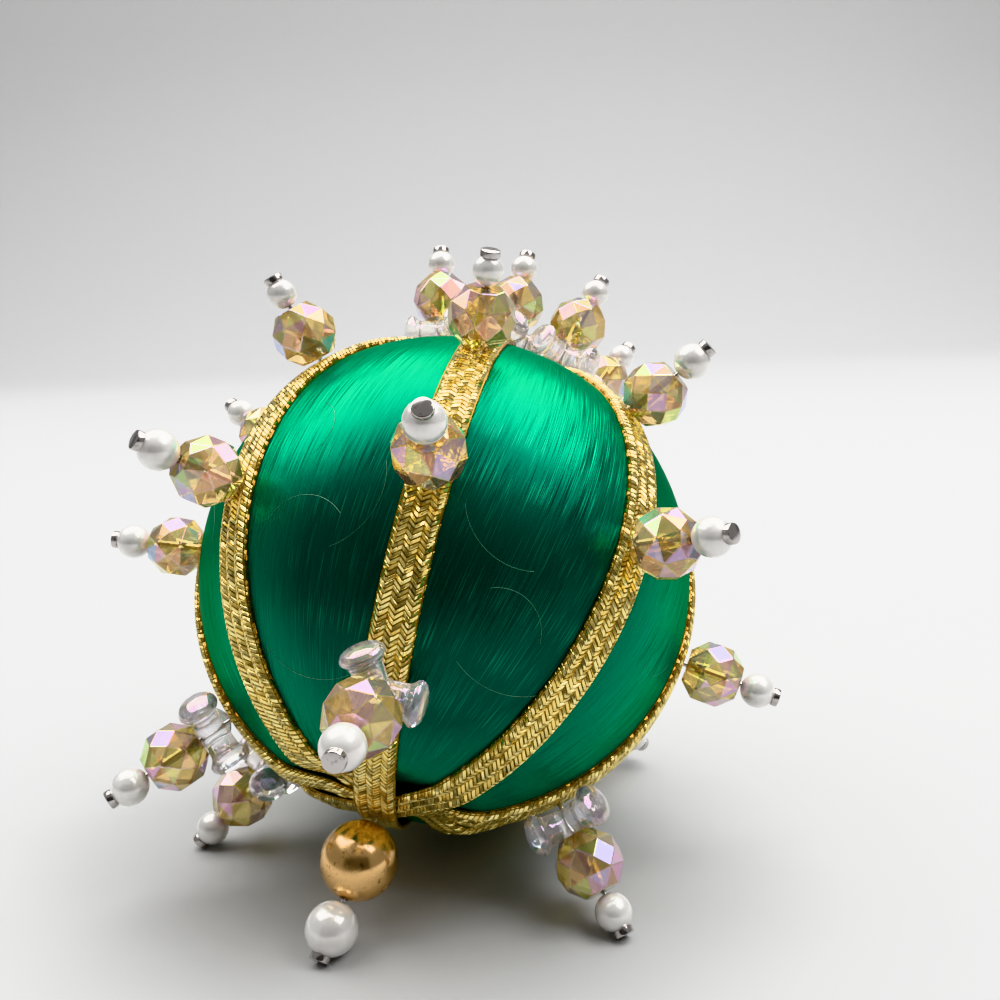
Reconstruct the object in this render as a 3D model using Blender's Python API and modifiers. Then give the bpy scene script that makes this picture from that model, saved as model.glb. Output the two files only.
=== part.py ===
# Beaded pin ball: a satin-wound ball bound by four loops of flat gold braid, with stacks of
# beads pinned to it through the braid. It lies on its side, resting on four pin heads.
import math
from collections import namedtuple

import bmesh
import bpy
from mathutils import Matrix, Vector

MM = 0.001
GAP = 0.3 * MM

# The ball, and how it lies on the surface that carries it
BALL_RADIUS = 31.75 * MM
BALL_HEIGHT = 34.8 * MM
BALL_SIDES = 36
AXIS_TILT = math.radians(44.9)
AXIS_HEADING = math.radians(68.3)
AXIS_TURN = math.radians(-162.1)

# The braid, and the hollow that its crossings press into the ball at each pole
BRAID_WIDTH = 4.8 * MM
BRAID_THICKNESS = 0.65 * MM
BRAID_VALLEY = 0.45 * MM
BRAID_EDGE = 0.3 * MM
BRAID_RIB = 1.3 * MM
BRAID_SEAT = 0.4 * MM
BRAID_LOOPS = 4
PRESSED_THICKNESS = 0.35 * MM
LAYER_PITCH = 0.7 * MM
HOLLOW_DEPTH = (BRAID_LOOPS - 1) * LAYER_PITCH
HOLLOW_INNER = math.radians(11.5)
HOLLOW_OUTER = math.radians(24.0)
HOLLOW_STEPS = 4
SIDE_STEPS = 7
BRAID_STEP = math.pi / BRAID_LOOPS

# The beads and the pins
BEAD_SIDES = 8
BORE_RADIUS = 0.7 * MM
CRYSTAL_DIAMETER = 8.2 * MM
CRYSTAL_HALF = 0.42 * CRYSTAL_DIAMETER
TRI_SEAT = 3.4 * MM
TRI_HALF = 1.45 * MM
TRI_HUB_RADIUS = 1.75 * MM
TRI_REACH = 5.4 * MM
TRI_ARMS = 3
LOBE_ROOT = 0.2 * MM
GOLD_DIAMETER = 9.0 * MM
GOLD_SEAT = 5.7 * MM
GOLD_PEARL = 6.0 * MM
GOLD_SIDES = 16
GOLD_BANDS = 10
FOOT_LEAN = math.radians(5.5)
FOOT_LEAN_TOWARDS = math.radians(-85.0)
PIN_RADIUS = 0.3 * MM
PIN_LENGTH = 26.0 * MM
PIN_POINT = 1.5 * MM
PIN_HEAD_RADIUS = 1.15 * MM
PIN_HEAD_RISE = 0.6 * MM
PIN_HEAD_SINK = 0.3 * MM
HOLE_SIDES = 6
HOLE_RADIUS = 0.7 * MM
HOLE_DEPTH_SPARE = 0.6 * MM
FLOOR_BLOCK_DEPTH = 20.0 * MM
FLOOR_BLOCK_SPAN = 200.0 * MM

# The widest angle between faces that are shaded as one smooth surface, in degrees
BALL_SMOOTH = 40
BRAID_SMOOTH = 30
BEAD_SMOOTH = 50

# The facets of a crystal: height and radius as shares of its diameter, and half steps of turn
CRYSTAL_RINGS = (
    (0.42, 0.270, 0),
    (0.20, 0.462, 1),
    (0.00, 0.500, 0),
    (-0.20, 0.462, 1),
    (-0.42, 0.270, 0),
)

# A lobe of a three-lobed bead, from its domed end inwards: radius and depth below the end in mm
LOBE_OUTLINE = (
    (0.0, 0.0),
    (1.5, 0.3),
    (2.3, 1.2),
    (1.2, 2.7),
)

# The angles of a pearl's rings from its pin's head, in degrees
PEARL_RINGS = (40, 65, 90, 115, 140)

# One stack a row. braid counts the eight half loops from the nearest one, polar is the angle
# from the lower pole in degrees, tri_turn turns a three-lobed bead beneath the crystal or is
# None where there is none, pearl is in mm, and a joined stack is one solid.
Stack = namedtuple("Stack", "name braid polar tri_turn pearl joined rests")
STACKS = (
    Stack("lower_0", 0.0, 43.5, 88, 4.5, False, False),
    Stack("lower_2", 2.03, 39.0, 110, 4.3, False, True),
    Stack("lower_5", 5.145, 41.0, 20, 4.3, False, True),
    Stack("lower_6", 6.0, 39.5, 0, 4.5, False, False),
    Stack("middle_0", 0.0, 84.3, None, 4.5, False, False),
    Stack("middle_1", 1.0, 86.2, None, 4.4, False, False),
    Stack("middle_2", 2.0, 82.0, None, 4.3, False, False),
    Stack("middle_3", 3.0, 83.0, None, 4.4, False, False),
    Stack("middle_4", 4.0, 82.8, None, 4.4, False, True),
    Stack("middle_5", 5.0, 85.5, None, 4.4, False, False),
    Stack("middle_6", 6.0, 83.3, None, 4.5, False, False),
    Stack("middle_7", 7.0, 81.1, None, 4.6, False, False),
    Stack("upper_0", 0.0, 120.9, None, 3.6, False, False),
    Stack("upper_1", 1.0, 123.5, None, 4.4, False, False),
    Stack("upper_3", 3.0, 121.0, None, 4.0, True, False),
    Stack("upper_4", 4.0, 119.0, None, 4.0, True, False),
    Stack("upper_5", 5.0, 122.0, None, 4.0, True, False),
    Stack("upper_6", 5.9, 118.5, None, 4.0, False, False),
    Stack("upper_7", 7.0, 119.3, None, 3.6, False, False),
    Stack("crown_0", 0.0, 164.0, 10, 3.8, False, False),
    Stack("crown_1", 0.95, 160.0, 30, 3.8, False, False),
    Stack("crown_2", 2.1, 159.5, 30, 3.8, False, False),
    Stack("crown_3", 3.1, 158.0, 40, 3.8, True, False),
    Stack("crown_4", 4.2, 159.0, 0, 3.8, True, False),
    Stack("crown_7", 7.0, 158.5, 80, 3.8, False, False),
)

MATERIALS = {
    "satin_green": ((0.0, 0.2, 0.07, 1.0), 0.35, 0.0),
    "gold_braid": ((0.72, 0.5, 0.13, 1.0), 0.35, 0.9),
    "amber_crystal": ((0.8, 0.56, 0.3, 1.0), 0.08, 0.0),
    "clear_bead": ((0.82, 0.82, 0.86, 1.0), 0.12, 0.0),
    "pearl": ((0.86, 0.83, 0.78, 1.0), 0.25, 0.0),
    "old_gold": ((0.58, 0.36, 0.12, 1.0), 0.25, 1.0),
}


def clear_scene():
    for item in list(bpy.data.objects):
        bpy.data.objects.remove(item)


def new_collection(name):
    group = bpy.data.collections.new(name)
    bpy.context.scene.collection.children.link(group)
    return group


def make_material(name):
    colour, roughness, metallic = MATERIALS[name]
    material = bpy.data.materials.new(name)
    material.use_nodes = True
    shader = material.node_tree.nodes["Principled BSDF"]
    shader.inputs["Base Color"].default_value = colour
    shader.inputs["Roughness"].default_value = roughness
    shader.inputs["Metallic"].default_value = metallic
    return material


def place(name, mesh, group, matrix, material=None):
    item = bpy.data.objects.new(name, mesh)
    item.matrix_world = matrix
    group.objects.link(item)
    if material is not None and not mesh.materials:
        mesh.materials.append(material)
    return item


def place_cutter(name, mesh, group, matrix):
    item = place(name, mesh, group, matrix)
    item.hide_render = True
    item.display_type = "WIRE"
    return item


def boolean(item, other, operation):
    modifier = item.modifiers.new(operation.title(), "BOOLEAN")
    modifier.operation = operation
    modifier.solver = "EXACT"
    modifier.object = other


def bake(item):
    # the object's evaluated mesh, after which the object itself goes
    bpy.context.view_layer.update()
    depsgraph = bpy.context.evaluated_depsgraph_get()
    mesh = bpy.data.meshes.new_from_object(item.evaluated_get(depsgraph))
    mesh.name = item.name
    bpy.data.objects.remove(item)
    bm = bmesh.new()
    bm.from_mesh(mesh)
    bmesh.ops.remove_doubles(bm, verts=bm.verts, dist=0.001 * MM)
    bm.to_mesh(mesh)
    bm.free()
    return mesh


def turned(name, profile, group, sides, closed=False):
    # a profile of (radius, height) points down its outer side, turned about Z
    bm = bmesh.new()
    points = [bm.verts.new((radius, 0.0, height)) for radius, height in profile]
    for first, second in zip(points, points[1:]):
        bm.edges.new((first, second))
    if closed:
        bm.edges.new((points[-1], points[0]))
    mesh = bpy.data.meshes.new(name)
    bm.to_mesh(mesh)
    bm.free()
    item = place(name, mesh, group, Matrix())
    screw = item.modifiers.new("Turn", "SCREW")
    screw.axis = "Z"
    screw.angle = 2.0 * math.pi
    screw.steps = sides
    screw.render_steps = sides
    screw.use_merge_vertices = True
    screw.merge_threshold = 0.001 * MM
    return bake(item)


def cylinder(name, radius, low, high, sides):
    bm = bmesh.new()
    middle = Matrix.Translation((0.0, 0.0, (low + high) / 2.0))
    bmesh.ops.create_cone(
        bm, cap_ends=True, segments=sides, radius1=radius, radius2=radius,
        depth=high - low, matrix=middle,
    )
    mesh = bpy.data.meshes.new(name)
    bm.to_mesh(mesh)
    bm.free()
    return mesh


def smooth(mesh, degrees):
    mesh.shade_smooth()
    mesh.set_sharp_from_angle(angle=math.radians(degrees))


# Frames

def ball_frame():
    # the upper pole is the frame's +Z, and the nearest half loop lies at longitude 0
    lean = Matrix.Rotation(AXIS_HEADING, 4, "Z") @ Matrix.Rotation(AXIS_TILT, 4, "Y")
    centre = Matrix.Translation((0.0, 0.0, BALL_HEIGHT))
    return centre @ lean @ Matrix.Rotation(AXIS_TURN, 4, "Z")


def stack_frame(stack):
    # +Z runs out along the pin from the ball's centre, and +X towards the lower pole
    longitude = Matrix.Rotation(stack.braid * BRAID_STEP, 4, "Z")
    return ball_frame() @ longitude @ Matrix.Rotation(math.pi - math.radians(stack.polar), 4, "Y")


def foot_frame():
    # the pin at the lower pole leans, so its frame starts on the ball's surface there
    pole = Matrix.Translation((0.0, 0.0, -BALL_RADIUS))
    towards = Matrix.Rotation(FOOT_LEAN_TOWARDS, 4, "Z")
    return ball_frame() @ pole @ towards @ Matrix.Rotation(math.pi - FOOT_LEAN, 4, "Y")


# The ball and its braid

def hollow_share(polar):
    # 1 on the hollow's floor at either pole, 0 outside it, smooth between
    from_pole = min(polar, math.pi - polar)
    share = (HOLLOW_OUTER - from_pole) / (HOLLOW_OUTER - HOLLOW_INNER)
    share = min(max(share, 0.0), 1.0)
    return share * share * (3.0 - 2.0 * share)


def polar_stations():
    # angles from the upper pole to the lower one, closer together across each hollow
    slope = (HOLLOW_OUTER - HOLLOW_INNER) / HOLLOW_STEPS
    side = (math.pi / 2.0 - HOLLOW_OUTER) / SIDE_STEPS
    upper = [0.0, HOLLOW_INNER / 2.0]
    upper += [HOLLOW_INNER + slope * step for step in range(HOLLOW_STEPS)]
    upper += [HOLLOW_OUTER + side * step for step in range(SIDE_STEPS)]
    return upper + [math.pi / 2.0] + [math.pi - angle for angle in reversed(upper)]


def make_ball(group, material):
    profile = []
    for polar in polar_stations():
        radius = BALL_RADIUS - HOLLOW_DEPTH * hollow_share(polar)
        profile.append((radius * math.sin(polar), radius * math.cos(polar)))
    mesh = turned("ball", profile, group, BALL_SIDES)
    smooth(mesh, BALL_SMOOTH)
    return place("ball", mesh, group, ball_frame(), material)


def braid_section():
    # (offset across, height above the braid's underside) round the section
    half = BRAID_WIDTH / 2.0
    return (
        (-half, 0.0),
        (-half, BRAID_EDGE),
        (-BRAID_RIB, BRAID_THICKNESS),
        (0.0, BRAID_VALLEY),
        (BRAID_RIB, BRAID_THICKNESS),
        (half, BRAID_EDGE),
        (half, 0.0),
    )


def braid_point(angle, across, height, layer):
    # a point of the loop that passes over both poles in the plane Y = 0, where it lies in its layer
    sideways = across / BALL_RADIUS
    outward = Vector((
        math.cos(sideways) * math.sin(angle),
        math.sin(sideways),
        math.cos(sideways) * math.cos(angle),
    ))
    share = hollow_share(math.acos(outward.z))
    pressed = PRESSED_THICKNESS if height > 0.0 else 0.0
    rise = height + (pressed - height) * share
    return outward * (BALL_RADIUS + BRAID_SEAT - layer * LAYER_PITCH * share + rise)


def make_braid(index, group, material):
    # a loft of like sections, closed round the loop, in the layer of the same number
    down = polar_stations()
    angles = down + [math.pi + angle for angle in down[1:-1]]
    section = braid_section()
    bm = bmesh.new()
    rings = []
    for angle in angles:
        ring = [braid_point(angle, across, height, index) for across, height in section]
        rings.append([bm.verts.new(point) for point in ring])
    for first, second in zip(rings, rings[1:] + rings[:1]):
        for low in range(len(section)):
            high = (low + 1) % len(section)
            bm.faces.new((first[low], first[high], second[high], second[low]))
    bmesh.ops.recalc_face_normals(bm, faces=bm.faces)
    mesh = bpy.data.meshes.new(f"braid_loop_{index}")
    bm.to_mesh(mesh)
    bm.free()
    smooth(mesh, BRAID_SMOOTH)
    turn = Matrix.Rotation(index * BRAID_STEP, 4, "Z")
    return place(mesh.name, mesh, group, ball_frame() @ turn, material)


# The beads, each with its middle at the origin and its bore along Z

def crystal_blank():
    bm = bmesh.new()
    for height, radius, half_steps in CRYSTAL_RINGS:
        turn = Matrix.Rotation(half_steps * math.pi / BEAD_SIDES, 4, "Z")
        lift = Matrix.Translation((0.0, 0.0, height * CRYSTAL_DIAMETER))
        bmesh.ops.create_circle(
            bm, segments=BEAD_SIDES, radius=radius * CRYSTAL_DIAMETER, matrix=lift @ turn
        )
    bmesh.ops.convex_hull(bm, input=bm.verts)
    loose = [edge for edge in bm.edges if not edge.link_faces]
    bmesh.ops.delete(bm, geom=loose, context="EDGES")
    bmesh.ops.recalc_face_normals(bm, faces=bm.faces)
    mesh = bpy.data.meshes.new("crystal_blank")
    bm.to_mesh(mesh)
    bm.free()
    return mesh


def tri_blank(group):
    # three trumpet-shaped lobes with domed ends round a short hub
    profile = [(radius * MM, TRI_REACH - depth * MM) for radius, depth in LOBE_OUTLINE]
    neck = profile[-1][0]
    profile += [(neck, LOBE_ROOT), (0.0, LOBE_ROOT)]
    lobe = turned("lobe", profile, group, BEAD_SIDES)
    hub = place("tri_hub", cylinder("tri_hub", TRI_HUB_RADIUS, -TRI_HALF, TRI_HALF, BEAD_SIDES),
                group, Matrix())
    lobes = []
    for arm in range(TRI_ARMS):
        turn = Matrix.Rotation(arm * 2.0 * math.pi / TRI_ARMS, 4, "Z")
        item = place(f"lobe_{arm}", lobe, group, turn @ Matrix.Rotation(math.pi / 2.0, 4, "Y"))
        boolean(hub, item, "UNION")
        lobes.append(item)
    mesh = bake(hub)
    for item in lobes:
        bpy.data.objects.remove(item)
    return mesh


def drilled(name, blank, half, group):
    bore = place_cutter("bore", cylinder("bore", BORE_RADIUS, -2.0 * half, 2.0 * half, BEAD_SIDES),
                        group, Matrix())
    item = place(name, blank.copy(), group, Matrix())
    boolean(item, bore, "DIFFERENCE")
    mesh = bake(item)
    bpy.data.objects.remove(bore)
    return mesh


def gold_bead(group):
    # a round bead whose poles are cut off by its bore
    radius = GOLD_DIAMETER / 2.0
    start = math.asin(BORE_RADIUS / radius)
    step = (math.pi - 2.0 * start) / GOLD_BANDS
    angles = [start + step * band for band in range(GOLD_BANDS + 1)]
    profile = [(radius * math.sin(angle), radius * math.cos(angle)) for angle in angles]
    mesh = turned("gold_bead", profile, group, GOLD_SIDES, closed=True)
    smooth(mesh, BEAD_SMOOTH)
    return mesh


def pin_profile(pearl, middle):
    # the pin's head, its pearl and its shaft, with the pearl's middle at the given height
    radius = pearl / 2.0
    head_top = middle + radius + PIN_HEAD_RISE
    tip = middle + radius - PIN_LENGTH
    head = [
        (0.0, head_top),
        (PIN_HEAD_RADIUS, head_top),
        (PIN_HEAD_RADIUS, middle + radius - PIN_HEAD_SINK),
    ]
    angles = [math.radians(ring) for ring in PEARL_RINGS]
    rings = [(radius * math.sin(angle), middle + radius * math.cos(angle)) for angle in angles]
    shaft = [
        (PIN_RADIUS, middle - radius),
        (PIN_RADIUS, tip + PIN_POINT),
        (0.0, tip),
    ]
    return head + rings + shaft


# The stacks

def stack_heights(stack):
    # from the ball's centre to the middle of the three-lobed bead, the crystal and the pearl
    tri = BALL_RADIUS + TRI_SEAT
    under = BALL_RADIUS + BRAID_SEAT + BRAID_THICKNESS
    if stack.tri_turn is not None:
        under = tri + TRI_HALF
    crystal = under + GAP + CRYSTAL_HALF
    return tri, crystal, crystal + CRYSTAL_HALF + GAP + stack.pearl * MM / 2.0


def foot_pearl_height():
    return GOLD_SEAT + GOLD_DIAMETER / 2.0 + GAP + GOLD_PEARL / 2.0


def lifted(height, turn_degrees=0.0):
    turn = Matrix.Rotation(math.radians(turn_degrees), 4, "Z")
    return Matrix.Translation((0.0, 0.0, height)) @ turn


def make_pin(name, pearl, middle, frame, group, material):
    mesh = turned(name, pin_profile(pearl, middle), group, BEAD_SIDES)
    smooth(mesh, BEAD_SMOOTH)
    return place(name, mesh, group, frame, material)


def make_stack(stack, blanks, beads, group, cutters, materials):
    frame = stack_frame(stack)
    tri, crystal, pearl = stack_heights(stack)
    pieces = [("crystal", "amber_crystal", frame @ lifted(crystal))]
    if stack.tri_turn is not None:
        pieces.append(("tri_bead", "clear_bead", frame @ lifted(tri, stack.tri_turn)))
    if stack.joined:
        pin = make_pin(f"stack_{stack.name}", stack.pearl * MM, pearl, frame, group,
                       materials["pearl"])
        for kind, _, matrix in pieces:
            blank = place_cutter(f"{kind}_in_{stack.name}", blanks[kind], cutters, matrix)
            boolean(pin, blank, "UNION")
        return [pin]
    pin = make_pin(f"pin_{stack.name}", stack.pearl * MM, pearl, frame, group, materials["pearl"])
    made = [pin]
    for kind, material, matrix in pieces:
        made.append(place(f"{kind}_{stack.name}", beads[kind], group, matrix, materials[material]))
    return made


def make_foot(beads, group, materials):
    frame = foot_frame()
    bead = place("gold_bead_foot", beads["gold_bead"], group, frame @ lifted(GOLD_SEAT),
                 materials["old_gold"])
    pin = make_pin("pin_foot", GOLD_PEARL, foot_pearl_height(), frame, group, materials["pearl"])
    return [bead, pin]


def make_pin_holes(cutters):
    # one mesh of blind holes, each a little deeper than its pin and open past the braid
    bm = bmesh.new()
    shafts = [(stack_frame(stack), stack_heights(stack)[2], stack.pearl * MM) for stack in STACKS]
    shafts.append((foot_frame(), foot_pearl_height(), GOLD_PEARL))
    for frame, middle, pearl in shafts:
        low = middle + pearl / 2.0 - PIN_LENGTH - HOLE_DEPTH_SPARE
        high = middle - pearl / 2.0
        bmesh.ops.create_cone(
            bm, cap_ends=True, segments=HOLE_SIDES, radius1=HOLE_RADIUS, radius2=HOLE_RADIUS,
            depth=high - low, matrix=frame @ lifted((low + high) / 2.0),
        )
    mesh = bpy.data.meshes.new("pin_holes")
    bm.to_mesh(mesh)
    bm.free()
    return place_cutter("pin_holes", mesh, cutters, Matrix())


def make_floor_block(cutters):
    # the block's top is the surface that the ornament lies on
    bm = bmesh.new()
    size = Matrix.Diagonal((FLOOR_BLOCK_SPAN, FLOOR_BLOCK_SPAN, FLOOR_BLOCK_DEPTH, 1.0))
    bmesh.ops.create_cube(bm, size=1.0, matrix=lifted(-FLOOR_BLOCK_DEPTH / 2.0) @ size)
    mesh = bpy.data.meshes.new("floor_block")
    bm.to_mesh(mesh)
    bm.free()
    return place_cutter("floor_block", mesh, cutters, Matrix())


def centre_over_origin(parts, everything):
    # the middle of the whole part's box moves over the origin, at the same height
    bpy.context.view_layer.update()
    depsgraph = bpy.context.evaluated_depsgraph_get()
    corners = []
    for part in parts:
        shaped = part.evaluated_get(depsgraph)
        corners += [part.matrix_world @ vertex.co for vertex in shaped.data.vertices]
    for axis in (0, 1):
        values = [corner[axis] for corner in corners]
        middle = (min(values) + max(values)) / 2.0
        for item in everything:
            item.location[axis] -= middle


def main():
    clear_scene()
    group = new_collection("beaded_ornament")
    cutters = new_collection("cutters")
    materials = {name: make_material(name) for name in MATERIALS}

    blanks = {"crystal": crystal_blank(), "tri_bead": tri_blank(group)}
    beads = {
        "crystal": drilled("crystal", blanks["crystal"], CRYSTAL_HALF, group),
        "tri_bead": drilled("tri_bead", blanks["tri_bead"], TRI_HALF, group),
        "gold_bead": gold_bead(group),
    }
    pin_holes = make_pin_holes(cutters)
    floor_block = make_floor_block(cutters)

    ball = make_ball(group, materials["satin_green"])
    boolean(ball, pin_holes, "DIFFERENCE")
    for index in range(BRAID_LOOPS):
        braid = make_braid(index, group, materials["gold_braid"])
        boolean(braid, pin_holes, "DIFFERENCE")

    for stack in STACKS:
        made = make_stack(stack, blanks, beads, group, cutters, materials)
        if stack.rests:
            boolean(made[0], floor_block, "DIFFERENCE")
    foot = make_foot(beads, group, materials)
    boolean(foot[1], floor_block, "DIFFERENCE")
    centre_over_origin(list(group.objects), list(group.objects) + list(cutters.objects))


main()
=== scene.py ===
"""The finish of a beaded pin ball: satin thread, plaited gold braid, beads, pearls and pins."""

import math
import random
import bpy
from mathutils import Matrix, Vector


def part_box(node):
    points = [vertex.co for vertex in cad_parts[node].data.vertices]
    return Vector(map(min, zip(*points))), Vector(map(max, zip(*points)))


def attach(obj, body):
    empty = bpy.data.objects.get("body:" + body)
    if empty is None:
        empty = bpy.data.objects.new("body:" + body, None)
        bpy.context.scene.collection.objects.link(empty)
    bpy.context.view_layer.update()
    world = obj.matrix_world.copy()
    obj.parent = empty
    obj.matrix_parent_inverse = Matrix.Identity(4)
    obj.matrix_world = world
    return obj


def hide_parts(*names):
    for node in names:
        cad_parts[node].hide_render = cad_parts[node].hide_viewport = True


bl_info = {
    "name": "Beaded Pin Ball",
    "version": (1, 0, 0),
    "blender": (4, 5, 0),
    "location": "View3D > Sidebar > Pin Ball",
    "description": "Dresses the packed model of a satin ball that is set with pinned beads",
    "category": "Add Mesh",
}

from collections import namedtuple

import bmesh
import bpy
from bpy.props import FloatProperty, FloatVectorProperty, IntProperty, PointerProperty
from mathutils import Matrix, Vector

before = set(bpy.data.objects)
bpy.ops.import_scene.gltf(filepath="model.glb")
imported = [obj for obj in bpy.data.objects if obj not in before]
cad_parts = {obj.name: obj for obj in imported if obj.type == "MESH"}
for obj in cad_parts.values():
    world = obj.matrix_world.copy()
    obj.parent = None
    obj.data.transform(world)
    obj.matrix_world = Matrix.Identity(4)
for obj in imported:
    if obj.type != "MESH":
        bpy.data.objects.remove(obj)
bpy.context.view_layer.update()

MM = 0.001
GAP = 0.3 * MM
WELD = 0.001 * MM
FULL_TURN = 2.0 * math.pi
ORIGIN = (0.0, 0.0, 0.0)
ALONG = (0.0, 1.0, 0.0)
UP = (0.0, 0.0, 1.0)

# The ball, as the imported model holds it: its middle, the lean of its axis and its pressed poles
BALL_LOW, BALL_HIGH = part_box("ball")
BALL_CENTRE = (BALL_LOW + BALL_HIGH) / 2.0
BALL_RADIUS = 31.75 * MM
AXIS_TILT = math.radians(44.9)
AXIS_HEADING = math.radians(68.3)
AXIS_TURN = math.radians(-162.1)
HOLLOW_INNER = math.radians(11.5)
HOLLOW_OUTER = math.radians(24.0)

# The braid
LOOPS = 4
LOOP_STEP = math.pi / LOOPS
BRAID_WIDTH = 4.8 * MM
BRAID_THICKNESS = 0.65 * MM
BRAID_SEAT = 0.4 * MM
PRESSED_THICKNESS = 0.35 * MM
LAYER_PITCH = 0.7 * MM
HOLLOW_DEPTH = (LOOPS - 1) * LAYER_PITCH
COLUMNS = 6
RIBS = 3
EDGE_DROP = 0.4 * MM

# Shares of the braid's width, where its edge starts to turn down and over how much it does, of its
# thickness in a furrow between two ribs, and of its column's width that is half a strand's length
RIM_START = 0.4
RIM_WIDTH = 0.1
FURROW = 0.6
STRAND_REACH = 0.56

# The backing under the strands
BACKING_HALF_WIDTH = 0.49 * BRAID_WIDTH
BACKING_EDGE = 0.15 * MM
BACKING_RISE = 0.3 * MM
BACKING_STEPS = 180

# The beads and the pins
CRYSTAL_DIAMETER = 8.2 * MM
CRYSTAL_HALF = 0.42 * CRYSTAL_DIAMETER
CRYSTAL_SIDES = 8
BORE_RADIUS = 0.55 * MM
TRI_SEAT = 3.4 * MM
TRI_HALF = 1.45 * MM
TRI_HUB_RADIUS = 1.75 * MM
TRI_REACH = 5.4 * MM
TRI_ARMS = 3
TRI_BEVEL = 0.3 * MM
TRI_VOXEL = 0.2 * MM
LOBE_ROOT = 0.3 * MM
LOBE_ROOT_RADIUS = 1.65 * MM
LOBE_SIDES = 24
GOLD_DIAMETER = 9.0 * MM
GOLD_SEAT = 5.7 * MM
GOLD_SIDES = 64
GOLD_STEPS = 40
GOLD_PEARL = 6.0 * MM
PEARL_SIDES = 28
PEARL_STEPS = 18
FOOT_LEAN = math.radians(5.5)
FOOT_LEAN_TOWARDS = math.radians(-85.0)
PIN_RADIUS = 0.3 * MM
PIN_LENGTH = 26.0 * MM
PIN_POINT = 1.5 * MM
PIN_HEAD_RADIUS = 1.15 * MM
PIN_HEAD_RISE = 0.6 * MM
PIN_HEAD_SINK = 0.3 * MM
PIN_BEVEL = 0.16 * MM
PIN_SIDES = 20

# The facets of a crystal: height and radius as shares of its diameter, and half steps of turn
CRYSTAL_RINGS = (
    (0.42, 0.270, 0),
    (0.20, 0.462, 1),
    (0.00, 0.500, 0),
    (-0.20, 0.462, 1),
    (-0.42, 0.270, 0),
)

# Faces that meet at less than this angle are one facet, and the ends are those this near to level
FLAT_ANGLE = math.radians(2.0)
LEVEL = 0.999

# The end of a lobe: its radius, and the distance from the lobe's tip, both in mm
LOBE_PROFILE = (
    (0.0, 0.0),
    (0.8, 0.05),
    (1.5, 0.2),
    (2.15, 0.5),
    (2.5, 1.0),
    (2.5, 1.35),
    (2.1, 1.8),
    (1.8, 2.4),
)

# One stack a row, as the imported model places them. braid counts the eight half loops, polar is
# the angle from the lower pole in degrees, tri_turn turns a three-lobed bead or is None, pearl
# is in mm, and a joined stack is one node.
Stack = namedtuple("Stack", "name braid polar tri_turn pearl joined")
STACKS = (
    Stack("lower_0", 0.0, 43.5, 88, 4.5, False),
    Stack("lower_2", 2.03, 39.0, 110, 4.3, False),
    Stack("lower_5", 5.145, 41.0, 20, 4.3, False),
    Stack("lower_6", 6.0, 39.5, 0, 4.5, False),
    Stack("middle_0", 0.0, 84.3, None, 4.5, False),
    Stack("middle_1", 1.0, 86.2, None, 4.4, False),
    Stack("middle_2", 2.0, 82.0, None, 4.3, False),
    Stack("middle_3", 3.0, 83.0, None, 4.4, False),
    Stack("middle_4", 4.0, 82.8, None, 4.4, False),
    Stack("middle_5", 5.0, 85.5, None, 4.4, False),
    Stack("middle_6", 6.0, 83.3, None, 4.5, False),
    Stack("middle_7", 7.0, 81.1, None, 4.6, False),
    Stack("upper_0", 0.0, 120.9, None, 3.6, False),
    Stack("upper_1", 1.0, 123.5, None, 4.4, False),
    Stack("upper_3", 3.0, 121.0, None, 4.0, True),
    Stack("upper_4", 4.0, 119.0, None, 4.0, True),
    Stack("upper_5", 5.0, 122.0, None, 4.0, True),
    Stack("upper_6", 5.9, 118.5, None, 4.0, False),
    Stack("upper_7", 7.0, 119.3, None, 3.6, False),
    Stack("crown_0", 0.0, 164.0, 10, 3.8, False),
    Stack("crown_1", 0.95, 160.0, 30, 3.8, False),
    Stack("crown_2", 2.1, 159.5, 30, 3.8, False),
    Stack("crown_3", 3.1, 158.0, 40, 3.8, True),
    Stack("crown_4", 4.2, 159.0, 0, 3.8, True),
    Stack("crown_7", 7.0, 158.5, 80, 3.8, False),
)

# Loose fibres on the ball. Each is an arc of a circle on the surface. braid and polar place the
# circle's middle, and spread is its radius, seen from the ball's middle. Angles are in degrees.
Fibre = namedtuple("Fibre", "braid polar spread start sweep")
FIBRES = (
    Fibre(0.45, 84.0, 13.0, -70.0, 90.0),
    Fibre(0.5, 58.0, 9.0, 100.0, 110.0),
    Fibre(0.62, 66.0, 18.0, -30.0, 60.0),
    Fibre(7.5, 80.0, 14.0, 20.0, 90.0),
    Fibre(7.45, 66.0, 11.0, 130.0, 130.0),
    Fibre(7.55, 58.0, 17.0, -50.0, 75.0),
    Fibre(7.3, 92.0, 8.0, 40.0, 120.0),
    Fibre(6.5, 74.0, 10.0, 60.0, 80.0),
    Fibre(1.5, 78.0, 9.0, -20.0, 90.0),
    Fibre(3.5, 90.0, 12.0, 10.0, 80.0),
    Fibre(4.5, 82.0, 8.0, 100.0, 90.0),
)
FIBRE_RADIUS = 0.02 * MM
FIBRE_LIFT = 1.5 * FIBRE_RADIUS
FIBRE_STEPS = 24

# The noise that tells one thread from the next: its steps in each radian from pole to pole, the
# same for bundles of threads, and the bundles' share of the threads' steps round the ball
THREAD_STEPS = 4.0
BUNDLE_STEPS = 8.0
BUNDLE_SHARE = 0.35

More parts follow.
